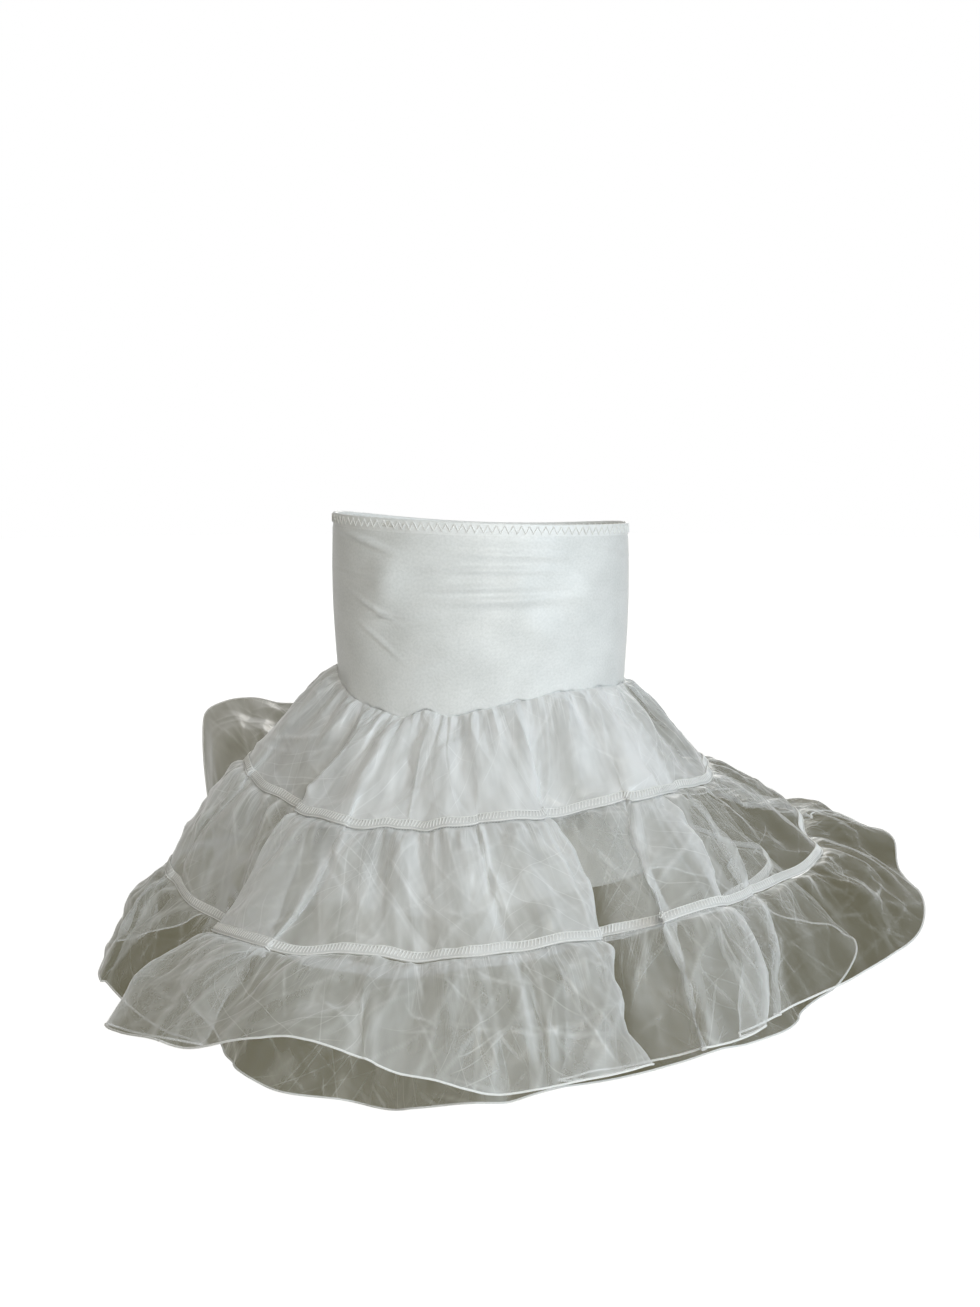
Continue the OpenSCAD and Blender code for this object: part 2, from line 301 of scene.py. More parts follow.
def opaque_cloth(name, low, high, rough, threads, bump, slant=0.0, sheen=0.0, patches=25.0, sparkle=0.0,
                 double=None):
    """Cloth between two near tints. Sparkle raises the grain, and the cloth is doubled below double."""
    material, tree, surface = new_finish(name)
    uv = cloth_uv(tree)
    patch = use_group(tree, mottle, Vector=uv, Scale=patches)
    grain = use_group(tree, mottle, Vector=uv, Scale=GRAIN_SCALE)
    pale = math(tree, "MULTIPLY_ADD", patch, 0.5, math(tree, "MULTIPLY", grain, 0.5))
    if double is not None:
        down = add_node(tree, "ShaderNodeSeparateXYZ", {0: uv}).outputs["Y"]
        pale = math(tree, "MULTIPLY_ADD", math(tree, "LESS_THAN", down, double), 0.5, pale)
    tint = add_node(tree, "ShaderNodeMix", {
        "Factor": pale, "A": (*low, 1), "B": (*high, 1)}, data_type="RGBA")
    tree.links.new(tint.outputs["Result"], surface.inputs["Base Color"])
    roughness = use_group(tree, mottle, Vector=uv, Scale=patches * 9, Low=rough[0], High=rough[1])
    tree.links.new(roughness, surface.inputs["Roughness"])
    surface.inputs["Sheen Weight"].default_value = sheen
    surface.inputs["Sheen Roughness"].default_value = SHEEN_ROUGHNESS
    height = use_group(tree, weave, Vector=uv, Threads=threads, Slant=slant)
    height = math(tree, "MULTIPLY_ADD", grain, sparkle, height)
    relief = add_node(tree, "ShaderNodeBump", {"Strength": bump, "Distance": WEAVE_DEPTH, "Height": height})
    tree.links.new(relief.outputs[0], surface.inputs["Normal"])
    return material


satin = opaque_cloth(
    "stretch_satin", (0.74, 0.755, 0.75), (0.91, 0.92, 0.92), rough=(0.30, 0.42), threads=700, bump=0.25,
    slant=0.6, sheen=0.25, sparkle=1.6, double=CASING_EDGE_UV)
# The lining is white cloth: its greyer, warm tints are painted shade of the inside of the skirt.
shade_dimmed_lining_cloth = opaque_cloth(
    "shade_dimmed_lining_cloth", (0.58, 0.57, 0.52), (0.64, 0.63, 0.59), rough=(0.75, 0.9), threads=420, bump=0.4)
ribbon = {"rough": (0.5, 0.65), "threads": 500, "bump": 0.4, "sheen": 0.2, "patches": 120}
tape_cloth = opaque_cloth("woven_tape", (0.86, 0.86, 0.85), (0.94, 0.94, 0.94), **ribbon)
tape_cloth.node_tree.nodes["Principled BSDF"].inputs["Alpha"].default_value = TAPE_ALPHA
tape_rib = opaque_cloth("tape_rib", (0.88, 0.88, 0.87), (0.95, 0.95, 0.95), **ribbon)
thread = opaque_cloth(
    "sewing_thread", (0.88, 0.88, 0.87), (0.94, 0.94, 0.93), rough=(0.45, 0.6), threads=900, bump=0.3,
    slant=1.0, sheen=0.2, patches=200)
elastic_braid = opaque_cloth(
    "braided_elastic", (0.78, 0.78, 0.75), (0.86, 0.86, 0.84), rough=(0.6, 0.8), threads=300, bump=0.8,
    slant=1.0)
opaque = (satin, shade_dimmed_lining_cloth, tape_cloth, tape_rib, thread, elastic_braid)
print("opaque finishes:", [m.name for m in opaque])

# %% [markdown]
# Organza is a net of fine stiff threads with open holes. From a step away that is a coverage: the share
# of the view that threads fill, which each piece carries in a vertex attribute because gathers crowd the
# threads. At a slant the holes close, so the share of holes is raised to one over the cosine of the
# slant. That alone gives the bright edges of every fold. Two sorts of thin lines are added where the
# cloth is bent double: creases in four directions, and the lines of the gathers, which fade out below a
# seam.

# %% Organza
# Turn of each set of creases on the cloth, and the scale of the patches that hold them
CREASE_SETS = ((0.30, 17.0), (-0.55, 15.0), (0.95, 13.0), (-1.15, 19.0))
CREASE_SHARE, CREASE_MOST = 0.9, 0.13
GATHER_FADE, GATHER_COVERAGE = 26.0, 0.30
LEAST_COSINE, LEAST_HOLES = 0.07, 0.02


def turned_uv(tree, turn, along):
    """The cloth's own map, turned and drawn out lengthwise."""
    inputs = {"Rotation": (0, 0, turn), "Scale": (1.0, 1.0 / along, 1.0), "Vector": cloth_uv(tree)}
    return add_node(tree, "ShaderNodeMapping", inputs, vector_type="TEXTURE").outputs[0]


def organza_finish(name, tint):
    material, tree, surface = new_finish(name)
    surface.inputs["Base Color"].default_value = (*tint, 1)
    surface.inputs["Roughness"].default_value = 0.34
    surface.inputs["Specular IOR Level"].default_value = 0.9
    surface.inputs["Sheen Weight"].default_value = 0.2
    threads = add_node(tree, "ShaderNodeAttribute", attribute_name="coverage").outputs["Fac"]
    uneven = use_group(tree, mottle, Vector=turned_uv(tree, 0.0, 0.35), Scale=45.0, Low=0.75, High=1.25)
    coverage = math(tree, "MULTIPLY", threads, uneven)
    doubled = math(tree, "MINIMUM", math(tree, "MULTIPLY", threads, CREASE_SHARE), CREASE_MOST)
    for turn, patches in CREASE_SETS:
        creases = use_group(tree, thin_lines, Vector=turned_uv(tree, turn, 0.04),
                            Cloth=turned_uv(tree, turn, 0.5), Scale=38.0, Width=0.014, Patches=patches)
        coverage = math(tree, "MULTIPLY_ADD", creases, doubled, coverage)
    down = add_node(tree, "ShaderNodeSeparateXYZ", {0: cloth_uv(tree)}).outputs["Y"]
    near_seam = math(tree, "EXPONENT", math(tree, "MULTIPLY", down, GATHER_FADE))
    gathers = use_group(tree, thin_lines, Vector=turned_uv(tree, 0.0, 0.04),
                        Cloth=turned_uv(tree, 0.0, 0.2), Scale=220.0, Width=0.05, Patches=60.0)
    gathers = math(tree, "MULTIPLY", gathers, near_seam)
    coverage = math(tree, "MULTIPLY_ADD", gathers, GATHER_COVERAGE, coverage)
    facing = add_node(tree, "ShaderNodeLayerWeight", {"Blend": 0.5}).outputs["Facing"]
    cosine = math(tree, "MAXIMUM", math(tree, "SUBTRACT", 1.0, facing), LEAST_COSINE)
    holes = math(tree, "MAXIMUM", math(tree, "SUBTRACT", 1.0, coverage), LEAST_HOLES)
    seen_holes = math(tree, "POWER", holes, math(tree, "DIVIDE", 1.0, cosine))
    tree.links.new(math(tree, "SUBTRACT", 1.0, seen_holes), surface.inputs["Alpha"])
    return material


outer_organza = organza_finish("outer_organza", (0.93, 0.94, 0.95))
# The inner layer's slightly warmer tint is painted warm shade, for the cloth seen in the skirt's shadow.
inner_organza = organza_finish("inner_organza", (0.92, 0.92, 0.90))
print("sheer finishes:", outer_organza.name, inner_organza.name)

# %% [markdown]
# ## The petticoat's shape
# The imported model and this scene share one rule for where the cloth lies. Angles run from the right side
# over the back. A place on a layer counts tiers from the yoke seam down: 0 is the seam, 1 the first tape,
# 3 the hem. The folds of the outer layer are a closed path of steps with the same length of cloth, each
# with its angle at the yoke, its angle at the hem and how far it stands out.

# %% Sizes, in metres and degrees
# Width and depth of the yoke's oval at the waist and at its seam
WAIST, SEAM = np.array([0.340, 0.240]), np.array([0.334, 0.246])
YOKE_HEIGHT, YOKE_SWELL, SIDE_RISE, BACK_DROP = 0.165, 0.003, 0.012, 0.013
FRONT_DIP, RIGHT_DIP, DIP_ANGLE, DIP_POWER = 0.042, 0.020, 243, 4.6
# Where the gathers pull the yoke seam up or down: angle, half width in degrees, rise
SEAM_PULLS = ((184, 11, 0.011), (249, 5, 0.007), (238, 5, -0.003), (262, 5, -0.002), (297, 7, 0.002))
SATIN_WALL, ORGANZA_WALL, LAYER_CLEARANCE = 0.0008, 0.0005, 0.0008
OUTER, INNER, LINING = 0, 1, 2
LAYER_NAMES = {OUTER: "outer", INNER: "inner"}
LENGTHS = {OUTER: (0.150, 0.150, 0.132), INNER: (0.140, 0.140, 0.140), LINING: (0.222, 0, 0)}
# Flare of each tier, what the right has more and the left less, how much steeper the inner layer hangs
FLARES, LEANS, STEEPER, LINING_FLARE = (46, 45, 45), (0, 11, 11), 13, 9
FOLD_DEPTHS = np.array([0, 0.016, 0.036, 0.052])
INNER_FOLD, INNER_FOLDS, LINING_WAVE, LINING_WAVES, CREST_RISE = 0.016, 8, 0.004, 6, 0.4
# Where the lower tier is thrown up: angle, half width, rise in degrees, steepness of its two edges
FLAP_RISE, FLAP_FOLDED, STEEP = 82, 0.30, 4
KICKS = ((130, 15.5, FLAP_RISE, 14), (223, 14, 18, 2), (248, 15, 34, 2), (284, 16, -9, 2), (345, 30, 8, 2),
         (25, 21, 24, 2))
KICK_SHARES = (0, 0.2, 1)
TAPE_WIDTH, HEM_RADIUS = 0.011, 0.0011
print("length from the waist to the hem:", round(YOKE_HEIGHT + sum(LENGTHS[OUTER]), 3), "m and the dips")

# %% The fold path of the outer layer
# Angle at the yoke, angle at the hem, stand-out as a share of the fold's depth
FOLD_PATH = np.array([
    (0, 2, -0.3), (10, 13, -0.1), (20, 22, -0.8), (30, 31, -0.7), (41, 42, 0.6), (52, 53, 1),
    (63, 64, 0), (73, 73, -0.9), (83, 83, -0.2), (94, 94, 0.9), (105, 104, 0.5), (115, 113, -0.8),
    (125, 123, 0), (136, 134, 0.8), (147, 145, 0.6), (157, 155, -0.8), (167, 165, -0.6), (177, 176, 0.1),
    (187, 186, 0.3), (197, 197, 0), (208, 211, -0.8), (219, 221, -0.7), (228, 217, 0.3), (235, 225, 0.9),
    (242, 237, 0.9), (249, 249, 0.6), (256, 261, 0.7), (263, 272, 0.9), (270, 282, 0.8), (277, 289, 0.3),
    (286, 287, -0.7), (296, 291, -1), (307, 295, -0.1), (316, 300, 0.8), (326, 307, 0.2), (336, 315, -0.5),
    (345, 328, -0.3), (353, 344, -0.1)])
STEPS = len(FOLD_PATH)
# Sharp folds that lap over a neighbour: step of the path, half width in steps, overlap in degrees,
# and the place on the layer where the fold starts
TUCKS = ((29.7, 0.95, 9.5, 0.0), (21.7, 0.85, 8.5, 0.3), (32.6, 0.55, 6.5, 0.2), (33.8, 0.45, 5.5, 0.1),
         (35.0, 0.5, 4.5, 0.3), (25.5, 0.4, 4.0, 2.0), (27.6, 0.35, 1.6, 0.1), (23.6, 0.4, 4.2, 0.2),
         (2.0, 0.6, 5.0, 0.2), (6.2, 0.7, 6.0, 0.1), (11.0, 0.7, 6.0, 0.5), (15.0, 0.6, 5.0, 0.1),
         (18.5, 0.6, 5.5, 0.2))
# How crowded the threads are: step of the path, then the upper, middle and lower tier, 1 for plain cloth
CROWDING = ((0, 0.7, 0.3, 0.22), (3, 0.8, 0.35, 0.25), (8, 0.9, 0.5, 0.25), (10.5, 2.2, 1.3, 0.8),
            (13.5, 4.5, 3.0, 1.9), (15.2, 3.6, 2.2, 1.3), (16.4, 1.9, 1.1, 0.5), (18, 2.0, 1.4, 0.5),
            (20.6, 2.0, 1.2, 0.4), (21.6, 2.2, 1.0, 0.4), (23, 2.9, 1.2, 0.6), (26, 3.9, 1.95, 1.2),
            (28.6, 3.8, 1.95, 1.2), (29.6, 3.2, 1.6, 1.0), (30.1, 2.8, 0.35, 0.25), (31.4, 2.6, 0.25, 0.2),
            (31.9, 3.4, 1.3, 0.75), (33.4, 3.6, 1.35, 0.75), (34.4, 2.8, 0.7, 0.35), (35.6, 1.2, 0.4, 0.22),
            (37, 0.8, 0.3, 0.22))
print("fold path:", STEPS, "steps,", len(TUCKS), "tucks")

# %% [markdown]
# The yoke is an oval that changes a little from the waist to its seam. The waist rises at one side and
# drops at the back, and the seam dips at the front and the right, where the gathers weigh on the stretch
# satin.

# %% Ovals of the yoke, waist and seam


def mix(a, b, share):
    return a + (b - a) * share


def yoke_radii(height):
    height = np.asarray(height, float)[..., None]
    return mix(SEAM, WAIST, height) / 2 + YOKE_SWELL * np.sin(np.pi * height)


def oval_normal(radii, u):
    v = np.stack([radii[..., 1] * np.cos(u), radii[..., 0] * np.sin(u)], -1)
    return v / np.linalg.norm(v, axis=-1, keepdims=True)


def yoke_plan(height, u, inset):
    radii = yoke_radii(height)
    oval = np.stack([radii[..., 0] * np.cos(u), radii[..., 1] * np.sin(u)], -1)
    return oval - np.asarray(inset)[..., None] * oval_normal(radii, u)


def at_height(plan, z):
    return np.concatenate([plan, z[..., None]], -1)


def away_from(u, angle):
    """Degrees between angles u, in radians, and one angle in degrees."""
    return np.abs((np.degrees(u) - angle + 180) % 360 - 180)


def dip(u, lowest):
    return ((1 + np.cos(u - np.radians(lowest))) / 2) ** DIP_POWER


def seam_z(u, pulled=1.0):
    pulls = sum(rise * np.exp(-((away_from(u, angle) / width) ** 2)) for angle, width, rise in SEAM_PULLS)
    return pulled * pulls - YOKE_HEIGHT - FRONT_DIP * dip(u, DIP_ANGLE) - RIGHT_DIP * dip(u, 0)


def waist_z(u):
    return SIDE_RISE * (1 - np.cos(u)) / 2 - BACK_DROP * np.maximum(np.sin(u), 0) ** 2


print("lowest point of the seam:", seam_z(2 * np.pi * np.arange(360) / 360).min().round(3), "m")

# %% [markdown]
# Three things shape the outer layer. A smooth closed curve runs through the steps of the fold path. At a
# tuck the cloth runs on past a sharp fold and comes back, so that it lies double. A kick throws a part of
# the lower tier up, and where a kick has steep edges they fold some of the cloth's length away.

# %% Folds, tucks and kicks
TUCK_SWAY, TUCK_GROWTH, TUCK_SLOPE = 0.16, 1.1, 1.65
TUCK_EDGE, TUCK_EDGE_WIDTH = 0.6, 0.15


def smooth(x):
    x = np.clip(x, 0, 1)
    return x * x * (3 - 2 * x)


def fold_at(share):
    """Closed smooth curve through the fold path: angle at the yoke, angle at the hem, stand-out."""
    x = share * STEPS
    k = np.floor(x).astype(int)
    t = (x - k)[..., None]

    def step(i):
        turn = 360.0 * np.floor(i / STEPS)
        return FOLD_PATH[i % STEPS] + np.stack([turn, turn, 0 * turn], -1)

    a, b, c, d = step(k - 1), step(k), step(k + 1), step(k + 2)
    return 0.5 * (2 * b + (c - a) * t + (2 * a - 5 * b + 4 * c - d) * t**2 + (3 * b - a - 3 * c + d) * t**3)


def tuck(share, place):
    """Angle by which the cloth runs on past each sharp fold and back, and the cloth bent double there."""
    angle, bent = 0 * share, 0 * share
    for step, half, overlap, start in TUCKS:
        sway = TUCK_SWAY * np.sin(2.3 * place + step) * smooth(place)
        x = (share * STEPS - step - sway) / half
        reach = smooth((place - start) / TUCK_GROWTH) * (0.75 + 0.25 * np.sin(3.1 * place + 2 * step))
        angle = angle - overlap * reach * TUCK_SLOPE * x * np.exp(-(x**2))
        bent = bent + reach * np.exp(-(((np.abs(x) - TUCK_EDGE) / TUCK_EDGE_WIDTH) ** 2))
    return angle, bent


def kick(u):
    """Degrees by which the lower tier is thrown up, and the share of it that steep edges fold away."""
    total, folded = 0, 0
    for angle, width, rise, power in KICKS:
        share = np.exp(-((away_from(u, angle) / width) ** power))
        total = total + rise * share
        folded = folded + rise / FLAP_RISE * FLAP_FOLDED * (4 * share * (1 - share)) ** 0.7 * (power > STEEP)
    return total, folded


print("the flap is thrown up by", round(float(kick(np.radians(KICKS[0][0]))[0])), "degrees")

# %% [markdown]
# A point of a layer starts on the yoke's oval at the seam and walks down through the tiers, each with its
# flare. The folds move it in and out, and crests lie a little higher than valleys.

# %% Points of a layer
PULLS_FADE = 1.5


def layer_inset(layer):
    return SATIN_WALL + LAYER_CLEARANCE + layer * (ORGANZA_WALL + LAYER_CLEARANCE)


def layer_point(layer, share, place):
    """Points of a layer's outside, for arrays of shares round the loop and places down it."""
    share, place = np.broadcast_arrays(np.asarray(share, float), np.asarray(place, float))
    if layer == OUTER:
        fold = fold_at(share)
        turned = mix(fold[..., 0], fold[..., 1], np.clip(place, 0, None) / 3)
        u = np.radians(turned + tuck(share, place)[0])
        stand = fold[..., 2] * np.interp(place, range(4), FOLD_DEPTHS)
    else:
        u = 2 * np.pi * share
        stand = (INNER_FOLD * place / 3 * np.cos(INNER_FOLDS * u) if layer == INNER
                 else LINING_WAVE * place * np.cos(LINING_WAVES * u))
    out, down = 0, 0
    thrown, folded = kick(u)
    for k, length in enumerate(LENGTHS[layer]):
        if layer == LINING:
            flare = LINING_FLARE + 0 * u
        else:
            flare = FLARES[k] + LEANS[k] * np.cos(u)
            flare = flare + (KICK_SHARES[k] * thrown if layer == OUTER else -STEEPER)
        run = np.clip(place - k, 0, 1 if k < 2 else None) * length
        if layer == OUTER and k == 2:
            run = run * (1 - folded)
        out = out + run * np.sin(np.radians(flare))
        down = down + run * np.cos(np.radians(flare))
    plan = yoke_plan(0 * u, u, layer_inset(layer) + 0 * u)
    plan = plan + (out + stand)[..., None] * oval_normal(yoke_radii(0 * u), u)
    seam = seam_z(u, np.clip(1 - PULLS_FADE * place, 0, 1))
    return at_height(plan, seam - down + CREST_RISE * stand)


def grid_normals(points):
    """Outward normals of a grid whose rows run down the cloth and whose columns close round it."""
    along = np.roll(points, -1, 1) - np.roll(points, 1, 1)
    down = np.gradient(points, axis=0)
    out = np.cross(down, along)
    return out / np.maximum(np.linalg.norm(out, axis=-1, keepdims=True), 1e-12)


hem_line = layer_point(OUTER, np.linspace(0, 1, 400), 3.0)
print("hem spans", hem_line.min(0).round(3), hem_line.max(0).round(3))

# %% [markdown]
# ## Gathers and creases
# A gathered edge makes narrow pleats that join into wider folds further down. Here a pleat is a wave
# round the loop whose crests and valleys alternate at uneven steps and heights. Stiff organza also keeps
# straight creases from having been folded away. Each is a ridge with a sharp top along a short line, and
# the cloth bent double there shows as a bright line. Short ones start at the seams, others lie anywhere,
# some long ones have a keen edge, and a crumpled ground of flat facets lies under them all. Everything
# comes from numbered seeds, so each run gives the same cloth.

# %% A wave round the loop


def loop_wave(seed, steps, share, alternate, sharp=0.0):
    """Uneven wave round a closed loop, from -1 to 1, with a crest or valley at each step, round or sharp."""
    rng = np.random.default_rng(seed)
    if alternate:
        knots = rng.uniform(0.3, 1, steps) * np.where(np.arange(steps) % 2, 1, -1)
        share = share + loop_wave(seed + 1, max(steps // 3, 3), share, False) * 0.45 / steps
    else:
        knots = rng.uniform(-1, 1, steps)
    x = (share % 1) * steps
    k = np.floor(x).astype(int)
    t = x - k
    return mix(knots[k % steps], knots[(k + 1) % steps], mix(smooth(t), t, sharp))


print("wave sample:", loop_wave(3, 8, np.linspace(0, 1, 5), True).round(2))

# %% Creases
KEEN_RISE, KEEN_SOFT, KEEN_CORE = 0.0034, 0.007, 0.0014


def crease_axes(x0, y0, lean, half, width, across, down):
    """Place along a crease in half lengths of it, and distance to its side, on cloth that closes round."""
    dx = (across - x0 + width / 2) % width - width / 2
    dy = down - y0
    run = (dx * np.sin(lean) + dy * np.cos(lean)) / half
    return run, np.abs(dx * np.cos(lean) - dy * np.sin(lean))


def crease_field(seed, count, width, length, across, down, from_seam):
    """Sharp straight ridges on a strip of cloth of that width and length: their height and doubled cloth."""
    rng = np.random.default_rng(seed)
    height = np.zeros(np.broadcast(across, down).shape)
    doubled = np.zeros_like(height)
    for _ in range(count):
        x0, half = rng.uniform(0, width), rng.uniform(0.012, 0.055 if from_seam else 0.075)
        y0 = half * rng.uniform(0.7, 1.1) if from_seam else rng.uniform(0, length)
        lean = rng.normal(0, 0.22) if from_seam else rng.uniform(-1.4, 1.4)
        soft, core = rng.uniform(0.003, 0.008), rng.uniform(0.0013, 0.0024)
        rise = rng.uniform(0.0008, 0.0026) * rng.choice([-1, 1, 1])
        strength = rng.uniform(0.25, 1)
        run, side = crease_axes(x0, y0, lean, half, width, across, down)
        fade = smooth(1.25 - np.abs(run)) * (mix(1, 0.4, smooth(run / 2 + 0.5)) if from_seam else 1)
        height += rise * np.exp(-side / soft) * fade
        doubled += strength * np.exp(-((side / core) ** 2)) * fade
    return height, doubled


def keen_creases(seed, count, width, length, across, down):
    """Single long creases with a keen edge, most steep and some nearly level: height and doubled cloth."""
    rng = np.random.default_rng(seed)
    height, doubled = 0, 0
    for k in range(count):
        x0, y0 = rng.uniform(0, width), length * rng.uniform(0.15, 0.75)
        half, keen = rng.uniform(0.022, 0.055), rng.uniform(0.35, 1)
        lean = rng.normal(0.1, 0.35) if k % 3 else rng.normal(1.35, 0.25)
        run, side = crease_axes(x0, y0, lean, half, width, across, down)
        fade = keen * np.clip(1 - np.abs(run), 0, 1)
        height = height + KEEN_RISE * np.exp(-side / KEEN_SOFT) * fade
        doubled = doubled + np.exp(-((side / KEEN_CORE) ** 2)) * fade
    return height, doubled


sample = keen_creases(5, 3, 1.0, 0.1, np.linspace(0, 1, 500), 0.05)[0]
print("keen creases stand up to", round(1000 * float(sample.max()), 1), "mm high on a sample")

# %% Facets
FACET_RISE, FACET_EDGE = 0.032, 0.16


def crumple(seed, count, width, share, down):
    """Flat facets with straight sharp ridges between them: their height and doubled cloth."""
    rng = np.random.default_rng(seed)
    height, doubled = 0, 0
    for k in range(count):
        turn, pitch = rng.uniform(0, np.pi), rng.uniform(0.035, 0.085)
        waves = round(width * np.cos(turn) / pitch) * share + np.sin(turn) / pitch * down + rng.uniform()
        waves = waves + 0.25 * loop_wave(seed + 10 * k, 30, share, False)
        ridge = 4 * np.abs(waves % 1 - 0.5) - 1
        slanted = share + 0.4 * np.cos(turn) * down
        patch = smooth(0.2 + 1.3 * loop_wave(seed + 10 * k + 3, 44, slanted, False))
        height = height + FACET_RISE * pitch * ridge * patch
        doubled = doubled + patch * np.exp(-(((1 - ridge) / FACET_EDGE) ** 2))
    return height, doubled


sample = crumple(5, 3, 1.0, np.linspace(0, 1, 50), 0.05)[0]
print("facets stand", round(1000 * float(np.ptp(sample)), 1), "mm high on a sample")

# %% [markdown]
# A sheet is a grid of points: its rows run down the cloth and its columns close round the skirt. The UV
# map is in metres of cloth. Its last column has a place of its own at the far end, so the pattern has one
# seam.

# %% Sheet from a grid
pieces = {}


def cloth_sheet(name, points, across, down, material, coverage=None):
    """Piece from a grid of points, with UVs across and down in metres and the coverage of sheer cloth."""
    rows, columns = points.shape[:2]
    r, c = (x.ravel() for x in np.meshgrid(np.arange(rows - 1), np.arange(columns), indexing="ij"))
    after = (c + 1) % columns
    corners = np.stack([r * columns + c, (r + 1) * columns + c,
                        (r + 1) * columns + after, r * columns + after], -1)
    mesh = bpy.data.meshes.new(name)
    mesh.vertices.add(rows * columns)
    mesh.vertices.foreach_set("co", points.reshape(-1).astype(np.float32))
    mesh.loops.add(corners.size)
    mesh.loops.foreach_set("vertex_index", corners.ravel().astype(np.int32))
    mesh.polygons.add(len(corners))
    mesh.polygons.foreach_set("loop_start", np.arange(0, corners.size, 4, dtype=np.int32))
    mesh.update(calc_edges=True)
    wide = np.append(across, across[-1] + across[1] - across[0])
    uv = np.stack([np.stack([wide[x], down[y]], -1)
                   for x, y in ((c, r), (c, r + 1), (c + 1, r + 1), (c + 1, r))], 1)
    mesh.uv_layers.new(name="cloth").data.foreach_set("uv", uv.reshape(-1).astype(np.float32))
    if coverage is not None:
        threads = mesh.attributes.new("coverage", "FLOAT", "POINT")
        threads.data.foreach_set("value", coverage.reshape(-1).astype(np.float32))
    mesh.shade_smooth()
    mesh.materials.append(material)
    piece = bpy.data.objects.new(name, mesh)
    scene.collection.objects.link(piece)
    pieces[name] = piece
    return piece


def give_wall(piece, thickness, offset):
    wall = piece.modifiers.new("wall", "SOLIDIFY")
    wall.thickness, wall.offset = thickness, offset


def row_length(row):
    return float(np.linalg.norm(np.roll(row, -1, 0) - row, axis=-1).sum())


print("hem along its folds:", round(row_length(hem_line), 2), "m")

# %% [markdown]
# ## The tiers
# One maker sews all six tiers. The upper edge is drawn up into pleats and tucked behind the tape above.
# Below, the cloth puffs out a little, because stiff gathers push it away, and falls to the next tape or
# to the hem. The shared edge of two tiers follows one gentle wave, so that the tape, which is sewn on
# later, lies on both.

# %% Sewn edges
EDGE_WAVE, SEAM_SWAY, FINE_SWAY = 0.0035, 0.020, 0.008
INNER_TAPE_DROP, INNER_TAPE_DROP_ANGLE = 0.075, 240


def edge_wave(layer, tier, share):
    """How far the sewn edge below a tier sways out of its plain path."""
    return EDGE_WAVE * loop_wave(40 + 10 * layer + tier, 44, share, True) if tier >= 0 else 0 * share


def seam_sway(layer, seam, share):
    """How far a sewn edge or the hem sways up and down its layer, in tiers."""
    if seam == 0:
        return 0 * share
    seed = 300 + 10 * layer + seam
    lower = INNER_TAPE_DROP * dip(2 * np.pi * share, INNER_TAPE_DROP_ANGLE) * (layer == INNER and seam == 2)
    return (lower + SEAM_SWAY * loop_wave(seed, 30, share, True)
            + FINE_SWAY * loop_wave(seed + 10, 80, share, True) * (layer == OUTER and seam < 3))


print("first tape sways by", np.abs(seam_sway(OUTER, 1, np.linspace(0, 1, 99))).max().round(3), "of a tier")

# %% [markdown]
# Fine pleats die out soon below the seam, middle ones live longer, and broad ones grow further down. All
# the creases of a tier are summed, half as many on the inner layer, which is seen only through the outer
# one.

# %% Pleats and creases of a tier
# Waves round each tier, and their heights: fine, middle and broad
PLEAT_STEPS = ((150, 76, 40), (230, 112, 58), (300, 148, 76))
PLEAT_SHARPNESS, PLEAT_LIVES = (0.8, 0.8, 0.3), (0.16, 0.55)
PLEAT_HEIGHTS = {OUTER: (0.0024, 0.0046, 0.0090), INNER: (0.0012, 0.0028, 0.0050)}
CREASE_AMOUNT = {OUTER: 1, INNER: 0.5}
SEAM_CREASES, OLD_CREASES, KEEN_COUNTS = 110, 130, (16, 44, 70)
FACET_SETS, FACET_AMOUNTS = 7, (0.55, 1.0, 1.35)


def tier_seed(layer, tier):
    return 1000 * layer + 100 * tier


def pleat_waves(layer, tier, s, t):
    """Height of the pleats at shares s round and t down a tier, and the streaks of cloth on their crests."""
    seed = tier_seed(layer, tier)
    drift = s + 0.012 * loop_wave(seed + 7, 18, s, False) * t
    fine, middle, broad = (loop_wave(seed + k, steps, drift, True, sharp)
                           for k, (steps, sharp) in enumerate(zip(PLEAT_STEPS[tier], PLEAT_SHARPNESS)))
    heights = PLEAT_HEIGHTS[layer]
    pleats = (heights[0] * fine * np.exp(-t / PLEAT_LIVES[0])
              + heights[1] * middle * np.exp(-t / PLEAT_LIVES[1]) * smooth(t / 0.10)
              + heights[2] * broad * smooth(t / 0.35) * (1 - 0.45 * t))
    start = smooth(t / 0.05) * 0.75 + 0.25
    streaks = (np.clip(middle, 0, 1) ** 2 * np.exp(-t / 0.7)
               + 0.8 * np.clip(fine, 0, 1) ** 2 * np.exp(-t / 0.2))
    return pleats * start, streaks


def tier_creases(layer, tier, width, s, t):
    """Height of all the creases of a tier, and how much of the cloth is bent double on them."""
    seed, length, amount = tier_seed(layer, tier), LENGTHS[layer][tier], CREASE_AMOUNT[layer]
    strip = (width, length, s * width, t * length)
    ridges, bent = crease_field(seed + 5, int(SEAM_CREASES * amount), *strip, True)
    old_ridges, old_bent = crease_field(seed + 6, int(OLD_CREASES * amount), *strip, False)
    facets, facet_bent = (FACET_AMOUNTS[tier] * amount * x
                          for x in crumple(seed + 500, FACET_SETS, width, s, t * length))
    ridges, bent = ridges + old_ridges + facets, bent + 0.7 * old_bent + 0.22 * facet_bent
    if layer == OUTER:
        keen_ridges, keen_bent = keen_creases(seed + 8, KEEN_COUNTS[tier], *strip)
        ridges, bent = ridges + keen_ridges, bent + 1.1 * keen_bent
    return ridges, bent


print("pleats of the tiers:", PLEAT_STEPS)

# %% [markdown]
# Threads crowd where the cloth is gathered, creased or tucked, and where several folds lie behind each
# other. The crowding follows the fold path, so that the skirt is nearly clear at the sides and white in
# the middle.

# %% How much the threads cover
PLAIN_COVERAGE, LEAST_COVERAGE, MOST_COVERAGE = {OUTER: 0.19, INNER: 0.16}, 0.03, 0.65
STREAK_COVERAGE, SEAM_COVERAGE, BENT_COVERAGE, TUCK_COVERAGE = 0.17, 0.10, 0.26, 0.16


